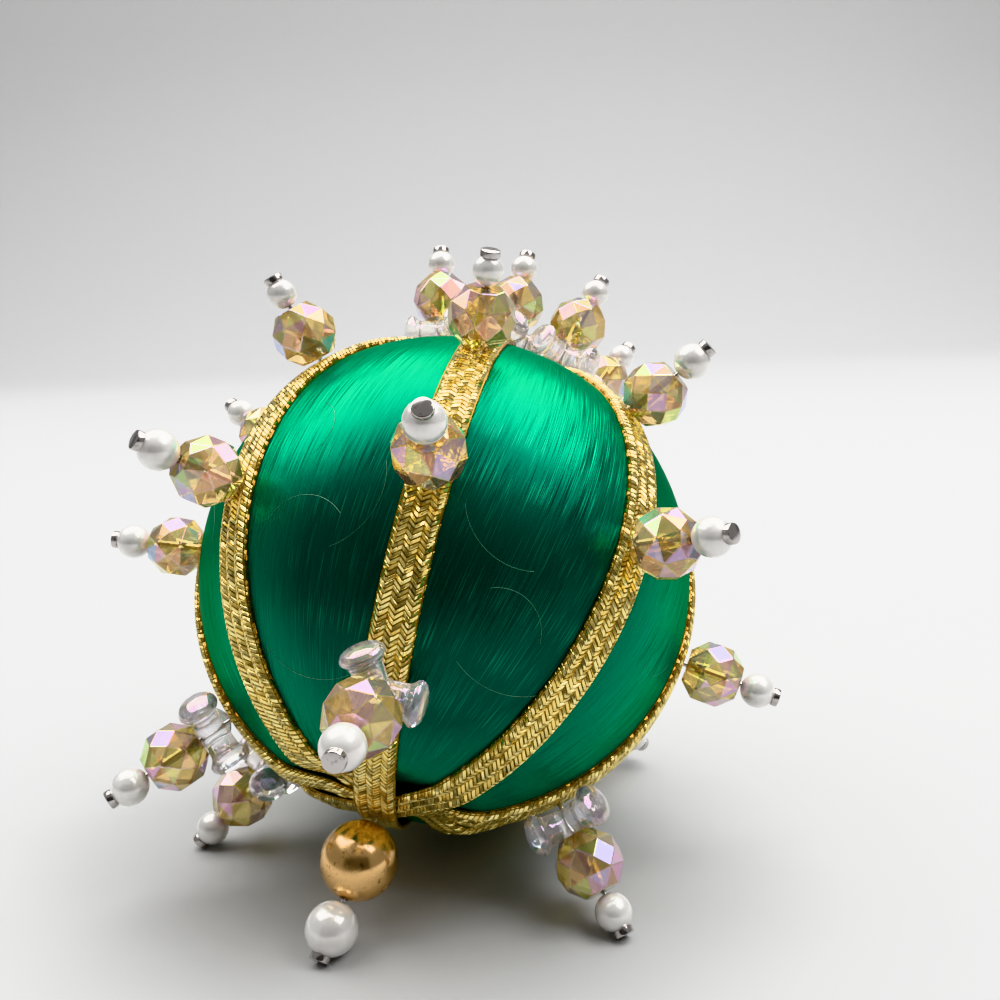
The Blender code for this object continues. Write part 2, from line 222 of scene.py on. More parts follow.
# The tints of the rainbow coatings, by their place on a ramp from 0 to 1
Tint = namedtuple("Tint", "position colour")
CRYSTAL_TINTS = (
    Tint(0.0, (1.0, 0.52, 0.14)),
    Tint(0.3, (1.0, 0.68, 0.26)),
    Tint(0.42, (0.66, 0.5, 1.0)),
    Tint(0.56, (0.36, 0.6, 1.0)),
    Tint(0.7, (0.95, 0.5, 0.95)),
    Tint(0.86, (0.62, 1.0, 0.42)),
    Tint(1.0, (1.0, 0.78, 0.26)),
)
CLEAR_TINTS = (
    Tint(0.3, (0.84, 0.78, 1.0)),
    Tint(0.45, (1.0, 0.97, 1.0)),
    Tint(0.56, (0.9, 1.0, 0.96)),
    Tint(0.7, (1.0, 0.82, 0.95)),
)

# The photograph's view: its frame in pixels, and the camera's place in ball radii from its middle
FRAME_PIXELS = 1000.0
FOCAL_PIXELS = 1037.0
SENSOR_WIDTH = 36.0
CAMERA_OFFSET = Vector((0.23285, -4.18472, 1.21285))
CAMERA_PITCH = math.radians(-12.0)
CAMERA_ROLL = math.radians(-2.0)
CLIP_START = 0.005
CLIP_END = 10.0

# The stage, in metres: the floor runs from its front to the wall and curves up into it
FLOOR_FRONT = -1.5
FLOOR_HALF_WIDTH = 2.5
WALL_PLACE = 1.1
WALL_HEIGHT = 2.0
BEND_RADIUS = 0.35
BEND_STEPS = 12

# The dark screen behind the camera
SCREEN_MIDDLE = Vector((0.0, -0.5, 0.21))
SCREEN_SIZE = (0.8, 0.4)

# The lights, in metres. The power of each is a setting.
Light = namedtuple("Light", "name place target size")
LIGHTS = (
    Light("key", (-0.05, 0.29, 0.85), BALL_CENTRE, (1.8, 0.85)),
    Light("side", (0.5, -0.1, 0.75), BALL_CENTRE, (0.5, 0.5)),
    Light("wall", (-0.35, 0.35, 1.0), (-0.2, 1.1, 0.6), (1.6, 0.4)),
)


# Frames

def axis_turn():
    """The turn that leans the ball's axis as the ball lies."""
    heading = Matrix.Rotation(AXIS_HEADING, 4, "Z")
    tilt = Matrix.Rotation(AXIS_TILT, 4, "Y")
    return heading @ tilt @ Matrix.Rotation(AXIS_TURN, 4, "Z")


def ball_frame():
    """The upper pole is the frame's +Z, and the nearest half loop lies at longitude 0."""
    return Matrix.Translation(BALL_CENTRE) @ axis_turn()


def stack_frame(stack):
    """+Z runs out along the pin from the ball's middle, and +X towards the lower pole."""
    longitude = Matrix.Rotation(stack.braid * LOOP_STEP, 4, "Z")
    return ball_frame() @ longitude @ Matrix.Rotation(math.pi - math.radians(stack.polar), 4, "Y")


def foot_frame():
    """The pin at the lower pole leans, so its frame starts on the ball's surface there."""
    pole = Matrix.Translation((0.0, 0.0, -BALL_RADIUS))
    towards = Matrix.Rotation(FOOT_LEAN_TOWARDS, 4, "Z")
    return ball_frame() @ pole @ towards @ Matrix.Rotation(math.pi - FOOT_LEAN, 4, "Y")


def stack_heights(stack):
    """From the ball's middle to the middle of the three-lobed bead, the crystal and the pearl."""
    tri = BALL_RADIUS + TRI_SEAT
    under = BALL_RADIUS + BRAID_SEAT + BRAID_THICKNESS
    if stack.tri_turn is not None:
        under = tri + TRI_HALF
    crystal = under + GAP + CRYSTAL_HALF
    return tri, crystal, crystal + CRYSTAL_HALF + GAP + stack.pearl * MM / 2.0


def foot_pearl_height():
    """From the lower pole to the middle of the pearl on the foot's pin."""
    return GOLD_SEAT + GOLD_DIAMETER / 2.0 + GAP + GOLD_PEARL / 2.0


def lifted(height, turn_degrees=0.0):
    """A place further out along a pin, and a turn about it."""
    turn = Matrix.Rotation(math.radians(turn_degrees), 4, "Z")
    return Matrix.Translation((0.0, 0.0, height)) @ turn


def hollow_share(polar):
    """1 on the floor of the hollow at either pole, 0 outside it, smooth between."""
    from_pole = min(polar, math.pi - polar)
    share = (HOLLOW_OUTER - from_pole) / (HOLLOW_OUTER - HOLLOW_INNER)
    share = min(max(share, 0.0), 1.0)
    return share * share * (3.0 - 2.0 * share)


def stack_node(stack, kind):
    """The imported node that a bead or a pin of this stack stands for."""
    return f"stack_{stack.name}" if stack.joined else f"{kind}_{stack.name}"


# Meshes and objects

def whole(bm):
    return bm.verts[:] + bm.edges[:] + bm.faces[:]


def move(bm, matrix):
    bmesh.ops.transform(bm, matrix=matrix, verts=bm.verts)


def spin(bm, geom, axis, angle, steps, **options):
    """Sweeps the geometry round an axis through the origin, or repeats it there."""
    bmesh.ops.spin(bm, geom=geom, cent=ORIGIN, axis=axis, dvec=ORIGIN, angle=angle, steps=steps,
                   **options)


def take(bm, other):
    """Adds another bmesh's shape to this one."""
    mesh = bpy.data.meshes.new("taken")
    other.to_mesh(mesh)
    other.free()
    bm.from_mesh(mesh)
    bpy.data.meshes.remove(mesh)


def spun(profile, sides, closed=False):
    """A profile of (radius, height) points turned about Z."""
    bm = bmesh.new()
    points = [bm.verts.new((radius, 0.0, height)) for radius, height in profile]
    onwards = points[1:] + (points[:1] if closed else [])
    edges = [bm.edges.new(pair) for pair in zip(points, onwards)]
    spin(bm, points + edges, UP, FULL_TURN, sides, use_merge=True)
    bmesh.ops.remove_doubles(bm, verts=bm.verts, dist=WELD)
    bmesh.ops.recalc_face_normals(bm, faces=bm.faces)
    return bm


def arc(radius, middle, start, end, steps):
    """Points of a circle round (0, middle), by angles from the top, as (radius, height)."""
    angles = [start + (end - start) * step / steps for step in range(steps + 1)]
    return [(radius * math.sin(angle), middle + radius * math.cos(angle)) for angle in angles]


def to_mesh(name, bm, smooth_degrees=None):
    """A mesh of the bmesh, smooth but for the edges that are sharper than the angle."""
    mesh = bpy.data.meshes.new(name)
    bm.to_mesh(mesh)
    bm.free()
    if smooth_degrees is not None:
        mesh.shade_smooth()
        mesh.set_sharp_from_angle(angle=math.radians(smooth_degrees))
    return mesh


def add_object(name, data):
    item = bpy.data.objects.new(name, data)
    bpy.context.scene.collection.objects.link(item)
    return item


def add_piece(name, mesh, material, slot, *nodes):
    """A finished piece of the object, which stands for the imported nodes."""
    mesh.name = name
    mesh.materials.clear()
    mesh.materials.append(material)
    piece = add_object(name, mesh)
    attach(piece, "root")
    if nodes:
        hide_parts(*nodes)
    return piece


def placed_copy(mesh, matrix):
    copy = mesh.copy()
    copy.transform(matrix)
    return copy


def evaluated_mesh(item):
    """The object's mesh with its modifiers, after which the object itself goes."""
    bpy.context.view_layer.update()
    depsgraph = bpy.context.evaluated_depsgraph_get()
    mesh = bpy.data.meshes.new_from_object(item.evaluated_get(depsgraph))
    bpy.data.objects.remove(item)
    return mesh


# Materials

class Value:
    """A socket of a material's nodes. Arithmetic with it adds Math nodes."""

    def __init__(self, paint, socket):
        self.paint = paint
        self.socket = socket

    def combine(self, operation, first, second):
        return self.paint.node("ShaderNodeMath", {"operation": operation}, {0: first, 1: second})

    def __add__(self, other):
        return self.combine("ADD", self, other)

    def __sub__(self, other):
        return self.combine("SUBTRACT", self, other)

    def __mul__(self, other):
        return self.combine("MULTIPLY", self, other)

    def __truediv__(self, other):
        return self.combine("DIVIDE", self, other)


class Paint:
    """The nodes of one material."""

    def __init__(self, name):
        self.material = bpy.data.materials.new(name)
        self.material.use_nodes = True
        self.tree = self.material.node_tree
        self.tree.nodes.clear()

    def node(self, kind, settings=None, values=None, out=0):
        """Adds a node with its settings and inputs, and gives the output."""
        made = self.tree.nodes.new(kind)
        for key, setting in (settings or {}).items():
            if key == "stops":
                self.set_stops(made.color_ramp, setting)
            else:
                setattr(made, key, setting)
        for key, value in (values or {}).items():
            if isinstance(value, Value):
                self.tree.links.new(value.socket, made.inputs[key])
            else:
                made.inputs[key].default_value = value
        return Value(self, made.outputs[out])

    @staticmethod
    def set_stops(ramp, stops):
        while len(ramp.elements) < len(stops):
            ramp.elements.new(1.0)
        for element, (position, colour) in zip(ramp.elements, stops):
            element.position = position
            element.color = (*colour, 1.0)

    def place(self):
        return self.node("ShaderNodeTexCoord", out="Object")

    def place_in(self, location, rotation):
        """The place as seen from a frame with this location and rotation."""
        values = {"Vector": self.place(), "Location": location, "Rotation": rotation}
        return self.node("ShaderNodeMapping", {"vector_type": "TEXTURE"}, values)

    def parts(self, vector):
        """The X, Y and Z of a vector."""
        split = self.tree.nodes.new("ShaderNodeSeparateXYZ")
        self.tree.links.new(vector.socket, split.inputs[0])
        return [Value(self, socket) for socket in split.outputs]

    def normal(self):
        return self.node("ShaderNodeNewGeometry", out="Normal")

    def facing(self, blend):
        return self.node("ShaderNodeLayerWeight", {}, {"Blend": blend}, "Facing")

    def vector(self, operation, first, second=None, out=0):
        values = {0: first} if second is None else {0: first, 1: second}
        return self.node("ShaderNodeVectorMath", {"operation": operation}, values, out)

    def scaled(self, vector, factor):
        values = {0: vector, "Scale": factor}
        return self.node("ShaderNodeVectorMath", {"operation": "SCALE"}, values)

    def blend(self, factor, first, second):
        values = {0: factor, 6: first, 7: second}
        return self.node("ShaderNodeMix", {"data_type": "RGBA"}, values, 2)

    def ramp(self, value, stops):
        return self.node("ShaderNodeValToRGB", {"stops": stops}, {"Fac": value})

    def noise(self, vector, scale, detail):
        values = {"Vector": vector, "Scale": scale, "Detail": detail}
        return self.node("ShaderNodeTexNoise", {}, values)

    def attribute(self, name):
        return self.node("ShaderNodeAttribute", {"attribute_name": name}, {}, "Fac")

    def range(self, value, low, high, to_low=0.0, to_high=1.0):
        values = {"Value": value, "From Min": low, "From Max": high, "To Min": to_low,
                  "To Max": to_high}
        return self.node("ShaderNodeMapRange", {}, values)

    def shader(self, values):
        return self.node("ShaderNodeBsdfPrincipled", {}, values)

    def mix(self, share, first, second):
        return self.node("ShaderNodeMixShader", {}, {0: share, 1: first, 2: second})

    def done(self, shader):
        output = self.tree.nodes.new("ShaderNodeOutputMaterial")
        self.tree.links.new(shader.socket, output.inputs["Surface"])
        return self.material


def rgba(colour, share=1.0):
    """The colour, or a darker one of the same hue."""
    return (*(share * part for part in colour), 1.0)


def satin_material(settings):
    """Fine threads wound from pole to pole, so that light spreads across them in bands."""
    paint = Paint("satin_thread")
    local = paint.place_in(BALL_CENTRE, axis_turn().to_euler())
    x, y, z = paint.parts(local)
    length = paint.vector("LENGTH", local, out="Value")
    longitude = x.combine("ARCTAN2", y, x)
    polar = paint.node("ShaderNodeMath", {"operation": "ARCCOSINE"}, {0: z / length})
    around = (longitude + polar * settings.slant) * (BALL_RADIUS / settings.thread_pitch)
    thread = paint.node("ShaderNodeCombineXYZ", {}, {"X": around, "Y": polar * THREAD_STEPS})
    bundle = paint.node("ShaderNodeCombineXYZ", {}, {"X": around * BUNDLE_SHARE,
                                                     "Y": polar * BUNDLE_STEPS})
    fine = (paint.noise(thread, scale=1.0, detail=1.0) - 0.5) * settings.thread_slope
    lie = (paint.noise(bundle, scale=1.0, detail=3.0) - 0.5) * settings.bundle_slope

    axis = axis_turn() @ Vector(UP)
    outward = paint.vector("NORMALIZE", paint.vector("SUBTRACT", paint.place(), BALL_CENTRE))
    east = paint.vector("NORMALIZE", paint.vector("CROSS_PRODUCT", axis, outward))
    north = paint.vector("CROSS_PRODUCT", outward, east)
    leaned = paint.vector("ADD", paint.normal(), paint.scaled(east, fine))
    leaned = paint.vector("ADD", leaned, paint.scaled(north, lie))
    leaned = paint.vector("NORMALIZE", leaned)

    tone = paint.range(paint.noise(thread, scale=0.7, detail=2.0), 0.3, 0.7)
    stray = paint.range(paint.noise(thread, scale=1.3, detail=0.0), 0.66, 0.76)
    layers = []
    for colour in (settings.colour, settings.sheen):
        threads = paint.blend(tone, rgba(colour, settings.shade_share), rgba(colour))
        layers.append(paint.shader({
            "Base Color": paint.blend(stray, threads, rgba(settings.pale)),
            "Metallic": settings.lustre,
            "Roughness": settings.roughness,
            "Specular IOR Level": 0.0,
            "Specular Tint": rgba(settings.edge_tint),
            "Normal": leaned,
        }))
    share = paint.range(paint.facing(0.5), 0.2, 0.6, 0.0, 0.9)
    return paint.done(paint.mix(share, *layers))


def fibre_material(settings):
    """Pale fibres that have worked loose from the threads."""
    paint = Paint("loose_fibre")
    tone = paint.noise(paint.place(), scale=300.0, detail=1.0)
    colour = paint.blend(tone, rgba(settings.pale), rgba(settings.fibre))
    return paint.done(paint.shader({"Base Color": colour, "Roughness": 0.4}))


def braid_material(settings):
    """Metal foil strands, bright on the crest, with painted brown shade where each dips under the
    next.
    """
    paint = Paint("gold_braid")
    crest = paint.attribute("crest")
    tone = paint.attribute("tone")
    bright = paint.blend(tone, rgba(settings.shade), rgba(settings.colour))
    # Painted shade: the gap colour darkens each strand's dipping ends, its underside and the
    # backing.
    colour = paint.blend(paint.range(crest, 0.0, 0.35), rgba(settings.gap_shade_colour), bright)
    scatter = paint.node("ShaderNodeTexWhiteNoise", {"noise_dimensions": "1D"}, {"W": tone},
                         "Color")
    lean = paint.scaled(paint.vector("SUBTRACT", scatter, (0.5, 0.5, 0.5)), settings.strand_lean)
    return paint.done(paint.shader({
        "Base Color": colour,
        "Metallic": 0.92,
        "Roughness": paint.range(tone, 0.0, 1.0, 0.28, 0.15),
        "Normal": paint.vector("NORMALIZE", paint.vector("ADD", paint.normal(), lean)),
    }))


def crystal_material(settings):
    """Clear amber glass under a rainbow coating, each facet in its own tint."""
    paint = Paint("amber_crystal")
    facet = paint.attribute("facet")
    glass = paint.shader({
        "Base Color": rgba(settings.crystal_colour),
        "Roughness": 0.02,
        "IOR": 1.5,
        "Transmission Weight": 0.78,
        "Thin Film Thickness": settings.film_thickness,
        "Thin Film IOR": 1.8,
    })
    coat = paint.shader({
        "Base Color": paint.ramp(facet, CRYSTAL_TINTS),
        "Metallic": 0.9,
        "Roughness": 0.06,
    })
    strength = paint.range(facet, 0.3, 0.45, 0.15, 1.0)
    share = paint.range(paint.facing(0.35), 0.0, 1.0, settings.coat_share, 0.75) * strength
    return paint.done(paint.mix(share, glass, coat))


def clear_material(settings):
    """Clear moulded plastic with a faint rainbow coating."""
    paint = Paint("clear_bead")
    clouds = paint.noise(paint.place(), scale=380.0, detail=2.0)
    glass = paint.shader({
        "Base Color": rgba(settings.clear_colour),
        "Roughness": 0.04,
        "IOR": 1.45,
        "Transmission Weight": 0.9,
        "Thin Film Thickness": settings.clear_film,
        "Thin Film IOR": 1.7,
    })
    coat = paint.shader({
        "Base Color": paint.ramp(clouds, CLEAR_TINTS),
        "Metallic": 0.8,
        "Roughness": 0.08,
    })
    share = paint.range(paint.facing(0.3), 0.0, 1.0, 0.06, 0.6)
    return paint.done(paint.mix(share, glass, coat))


def pearl_material(settings):
    """A soft pearl lacquer, a little cloudy."""
    paint = Paint("pearl")
    clouds = paint.range(paint.noise(paint.place(), scale=500.0, detail=3.0), 0.35, 0.65)
    colour = paint.blend(clouds, rgba(settings.pearl_shade), rgba(settings.pearl_colour))
    return paint.done(paint.shader({
        "Base Color": colour,
        "Metallic": 0.35,
        "Roughness": 0.22,
        "Coat Weight": 0.8,
        "Coat Roughness": 0.12,
        "Sheen Weight": 0.3,
        "Sheen Roughness": 0.3,
    }))


def metal_material(name, colour, roughness, spots):
    """A plated metal with fine dark specks."""
    paint = Paint(name)
    specks = paint.range(paint.noise(paint.place(), scale=1400.0, detail=3.0), 0.62, 0.72)
    wear = paint.noise(paint.place(), scale=600.0, detail=3.0)
    bump = {"Strength": 0.15, "Distance": 0.05 * MM, "Height": wear}
    return paint.done(paint.shader({
        "Base Color": paint.blend(specks * spots, rgba(colour), rgba(colour, 0.35)),
        "Metallic": 1.0,
        "Roughness": paint.range(wear, 0.3, 0.7, roughness * 0.7, roughness * 1.5),
        "Normal": paint.node("ShaderNodeBump", {}, bump),
    }))


def stage_material(settings):
    """A pale, nearly matt floor."""
    paint = Paint("pale_stage")
    return paint.done(paint.shader({
        "Base Color": rgba(settings.floor_colour),
        "Roughness": 0.6,
        "Specular IOR Level": 0.25,
    }))


def screen_material(settings):
    """A matt dark cloth."""
    paint = Paint("dark_screen")
    return paint.done(paint.shader({"Base Color": rgba(settings.screen_colour), "Roughness": 1.0}))


# The settings that a user would change

def distance(name, description, millimetres):
    return FloatProperty(name=name, description=description, default=millimetres * MM, min=0.0,
                         subtype="DISTANCE", unit="LENGTH", precision=5)


def shade(name, description, red, green, blue):
    return FloatVectorProperty(name=name, description=description, default=(red, green, blue),
                               min=0.0, max=1.0, size=3, subtype="COLOR")


def amount(name, description, default):
    return FloatProperty(name=name, description=description, default=default, min=0.0, max=20.0)


def film(name, description, nanometres):
    return FloatProperty(name=name, description=description, default=nanometres, min=0.0)


class BallSettings(bpy.types.PropertyGroup):
    """The satin thread on the ball."""

    colour: shade("Thread", "Colour of the satin thread, seen straight on", 0.0, 0.068, 0.039)
    sheen: shade("Sheen", "Colour of the satin thread's sheen, seen at a slant", 0.0, 0.38, 0.19)
    shade_share: amount("Thread shade", "How light the darker threads are", 0.88)
    pale: shade("Pale thread", "Colour of the few palest threads", 0.02, 0.21, 0.115)
    fibre: shade("Fibre", "Colour of the loose fibres", 0.35, 0.6, 0.42)
    edge_tint: shade("Edge tint", "Tint of the thread where it is seen edge on", 0.0, 0.26, 0.13)
    thread_pitch: distance("Thread pitch", "Width of one thread", 0.12)
    slant: amount("Slant", "How far a thread leans round the ball from pole to pole", 0.12)
    thread_slope: amount("Thread slope", "How round each thread is", 1.2)
    bundle_slope: amount("Bundle slope", "How unevenly the bundles of threads lie", 0.06)
    lustre: amount("Lustre", "How metallic the thread looks", 0.9)
    roughness: amount("Roughness", "Roughness along a thread", 0.34)
    sides: IntProperty(name="Sides", description="Steps round the ball", default=144, min=24)
    rings: IntProperty(name="Rings", description="Steps from pole to pole", default=96, min=16)


class BraidSettings(bpy.types.PropertyGroup):
    """The flat gold braid."""

    colour: shade("Foil", "Colour of the bright strands", 1.0, 0.87, 0.38)
    shade: shade("Foil shade", "Colour of the darker strands", 0.95, 0.72, 0.24)
    # Painted shade: the dark brown of a strand's dipping ends, its underside and the whole backing
    gap_shade_colour: shade("Gaps", "Colour between the strands", 0.3, 0.16, 0.03)
    pitch: distance("Plait pitch", "Distance from one strand to the next", 0.58)
    slant: FloatProperty(name="Slant", description="Angle of the strands across the braid",
                         default=math.radians(40.0), subtype="ANGLE")
    strand_thickness: distance("Strand thickness", "Thickness of one strand", 0.2)
    arch: distance("Arch", "How far a strand's ends dip", 0.09)
    fill: amount("Fill", "Share of the pitch that a strand takes", 0.92)
    strand_lean: amount("Strand lean", "How unevenly the strands catch the light", 0.7)


class BeadSettings(bpy.types.PropertyGroup):
    """The beads, the pearls and the pins."""

    crystal_colour: shade("Crystal", "Colour of the faceted glass", 1.0, 0.72, 0.3)
    clear_colour: shade("Clear bead", "Colour of the three-lobed beads", 1.0, 0.98, 1.0)
    pearl_colour: shade("Pearl", "Colour of the pearls", 0.93, 0.91, 0.88)
    pearl_shade: shade("Pearl shade", "Darker colour of the pearls", 0.82, 0.79, 0.76)
    gold_colour: shade("Gold bead", "Colour of the bead at the pole", 0.84, 0.54, 0.25)
    pin_colour: shade("Pin", "Colour of the pins", 0.55, 0.52, 0.5)
    film_thickness: film("Film", "Thickness of the crystals' coating in nanometres", 440.0)
    clear_film: film("Clear film", "Thickness of the clear beads' coating in nanometres", 325.0)
    coat_share: amount("Coating", "Share of the coating seen face on", 0.38)
    edge_width: distance("Facet edge", "Width of a worn edge between facets", 0.16)


class StageSettings(bpy.types.PropertyGroup):
    """The floor, the camera and the lights."""

    floor_colour: shade("Floor", "Colour of the floor and the backdrop", 0.46, 0.46, 0.46)
    screen_colour: shade("Screen", "Colour of the dark screen behind the camera", 0.04, 0.04, 0.04)
    key_power: amount("Key light", "Power of the large light above, in watts", 22.0)
    side_power: amount("Side light", "Power of the light above on the right, in watts", 5.0)
    wall_power: amount("Wall light", "Power of the light on the backdrop, in watts", 5.0)
    world_light: amount("Room light", "Strength of the light from all round", 0.32)


class PinBallSettings(bpy.types.PropertyGroup):
    """All settings of the pin ball."""

    ball: PointerProperty(type=BallSettings)
    braid: PointerProperty(type=BraidSettings)
    beads: PointerProperty(type=BeadSettings)
    stage: PointerProperty(type=StageSettings)


# The ball

def satin_ball(settings):
    """The smooth ball, with a hollow at each pole."""
    profile = []
    for ring in range(settings.rings + 1):
        polar = math.pi * ring / settings.rings
        radius = BALL_RADIUS - HOLLOW_DEPTH * hollow_share(polar)
        profile.append((radius * math.sin(polar), radius * math.cos(polar)))
    bm = spun(profile, settings.sides)
    move(bm, ball_frame())
    return to_mesh("satin_ball", bm, 60.0)


def loose_fibres():
    """Stray fibres that lie on the threads, each an arc of a circle on the ball."""
    bm = bmesh.new()
    for fibre in FIBRES:
        radius = BALL_RADIUS + FIBRE_LIFT
        spread = math.radians(fibre.spread)
        place = Matrix.Translation((radius * math.sin(spread), 0.0, radius * math.cos(spread)))
        arc_bm = bmesh.new()
        bmesh.ops.create_circle(arc_bm, cap_ends=True, segments=4, radius=FIBRE_RADIUS,
                                matrix=place @ Matrix.Rotation(math.pi / 2.0, 4, "X"))
        spin(arc_bm, arc_bm.faces[:], UP, math.radians(fibre.sweep), FIBRE_STEPS, use_merge=False)
        bmesh.ops.recalc_face_normals(arc_bm, faces=arc_bm.faces)
        longitude = Matrix.Rotation(fibre.braid * LOOP_STEP, 4, "Z")
        outward = Matrix.Rotation(math.pi - math.radians(fibre.polar), 4, "Y")
        start = Matrix.Rotation(math.radians(fibre.start), 4, "Z")
        move(arc_bm, ball_frame() @ longitude @ outward @ start)
        take(bm, arc_bm)
    return to_mesh("loose_fibres", bm, 60.0)


class PINBALL_OT_wind_ball(bpy.types.Operator):
    """Wind the ball with satin thread"""

    bl_idname = "pin_ball.wind_ball"
    bl_label = "Wind Ball"

    def execute(self, context):
        settings = context.scene.pin_ball.ball
        add_piece("satin_ball", satin_ball(settings), satin_material(settings), "satin_thread",
                  "ball")
        add_piece("loose_fibres", loose_fibres(), fibre_material(settings), "satin_thread")
        return {"FINISHED"}


# The braid

def braid_height(across):
    """The height of the strands' crests: ribs along the braid, and edges that turn down."""
    ribs = 0.5 + 0.5 * math.cos(FULL_TURN * across * RIBS / BRAID_WIDTH)
    rim = max(abs(across) / BRAID_WIDTH - RIM_START, 0.0) / RIM_WIDTH
    rise = BRAID_THICKNESS * (FURROW + (1.0 - FURROW) * ribs)
    return rise - EDGE_DROP * min(rim, 1.0) ** 2


def strand(settings, column):
    """One slanting strand of a column, in the flat: X across, Y along, Z up."""
    width = BRAID_WIDTH / COLUMNS
    middle = (column - (COLUMNS - 1) / 2.0) * width
    reach = width * STRAND_REACH
    lean = math.tan(settings.slant) * (-1.0 if column % 2 else 1.0)
    size = Matrix.Diagonal((2.0 * reach, settings.pitch * settings.fill,
                            settings.strand_thickness, 1.0))
    bm = bmesh.new()
    crest = bm.verts.layers.float.new("crest")
    bmesh.ops.create_cube(bm, size=1.0, matrix=size)
    top_edges = [edge for edge in edges_across(bm) if edge.verts[0].co.z > 0.0]
    bmesh.ops.bevel(
        bm, geom=top_edges, affect="EDGES", offset=settings.strand_thickness * 0.5,
        offset_type="OFFSET", segments=1, profile=0.5, material=-1,
    )
    bmesh.ops.subdivide_edges(bm, edges=edges_across(bm), cuts=2, use_grid_fill=True)
    for vert in bm.verts:
        share = vert.co.x / reach
        # The crest share masks the painted shade: 1 on a strand's crest, 0 at its dipping ends and
        # underneath
        vert[crest] = 1.0 - share * share if vert.co.z > 0.0 else 0.0
        across = middle + vert.co.x
        height = braid_height(across) - settings.arch * share * share
        vert.co = Vector((across, vert.co.y + lean * vert.co.x,
                          height + vert.co.z - settings.strand_thickness / 2.0))
    return bm


def edges_across(bm):
    return [edge for edge in bm.edges if abs(edge.verts[0].co.x - edge.verts[1].co.x) > WELD]


def bend_round_ball(bm):
    """From the flat, with X across and Y along, onto the ball's side."""
    for vert in bm.verts:
        sideways = vert.co.x / BALL_RADIUS
        angle = vert.co.y / BALL_RADIUS
        outward = Vector((math.cos(sideways) * math.sin(angle), math.sin(sideways),
                          math.cos(sideways) * math.cos(angle)))
        vert.co = outward * (BALL_RADIUS + BRAID_SEAT + vert.co.z)


def press_poles(bm, layer):
    """The loops press into the ball at both poles, each in its own layer."""
    for vert in bm.verts:
        outward = vert.co.normalized()
        pressed = hollow_share(math.acos(min(max(outward.z, -1.0), 1.0)))
        rise = vert.co.length - BALL_RADIUS - BRAID_SEAT
        thinned = 1.0 - pressed * (1.0 - PRESSED_THICKNESS / BRAID_THICKNESS)
        vert.co = outward * (BALL_RADIUS + BRAID_SEAT - layer * LAYER_PITCH * pressed
                             + rise * thinned)


def plaited_strands(settings, layer):
    """A row of strands, one in each column, repeated round the ball."""
    bm = bmesh.new()
    for column in range(COLUMNS):
        take(bm, strand(settings, column))
    bend_round_ball(bm)
    faces_in_row = len(bm.faces)
    rows = round(FULL_TURN * BALL_RADIUS / settings.pitch)
    spin(bm, whole(bm), ALONG, FULL_TURN * (rows - 1) / rows, rows - 1, use_merge=False,
         use_duplicate=True)
    tone = bm.faces.layers.float.new("tone")
    chance = random.Random(layer)
    tones = {}
    for index, face in enumerate(bm.faces):
        place = index * COLUMNS // faces_in_row
        face[tone] = tones.setdefault(place, chance.random())
    press_poles(bm, layer)
    return bm


def braid_backing(layer):
    """The thin band under the strands, which has no crest share and so takes the painted gap shade
    all over.
    """
    bm = bmesh.new()
    half = BACKING_HALF_WIDTH
    outline = ((-half, -BRAID_SEAT), (-half, BACKING_EDGE), (-half / 2.0, BACKING_RISE),
               (0.0, BACKING_RISE), (half / 2.0, BACKING_RISE), (half, BACKING_EDGE),
               (half, -BRAID_SEAT))
    points = [bm.verts.new((across, 0.0, height)) for across, height in outline]
    for first, second in zip(points, points[1:] + points[:1]):
        bm.edges.new((first, second))
    bend_round_ball(bm)
    spin(bm, whole(bm), ALONG, FULL_TURN, BACKING_STEPS, use_merge=True)
    bmesh.ops.remove_doubles(bm, verts=bm.verts, dist=WELD)
    bmesh.ops.recalc_face_normals(bm, faces=bm.faces)
    press_poles(bm, layer)
    return bm


def braid_loop(settings, index):
    """One loop in its place, with its strands and its backing."""
    bm = plaited_strands(settings, index)
    take(bm, braid_backing(index))
    move(bm, ball_frame() @ Matrix.Rotation(index * LOOP_STEP, 4, "Z"))
    return to_mesh(f"braid_{index}", bm, 35.0)


class PINBALL_OT_plait_braid(bpy.types.Operator):
    """Plait four loops of gold braid round the ball"""

    bl_idname = "pin_ball.plait_braid"
    bl_label = "Plait Braid"

    def execute(self, context):
        settings = context.scene.pin_ball.braid
        material = braid_material(settings)
        for index in range(LOOPS):
            add_piece(f"plaited_braid_{index}", braid_loop(settings, index), material,
                      "gold_braid", f"braid_loop_{index}")
        return {"FINISHED"}


# The crystals

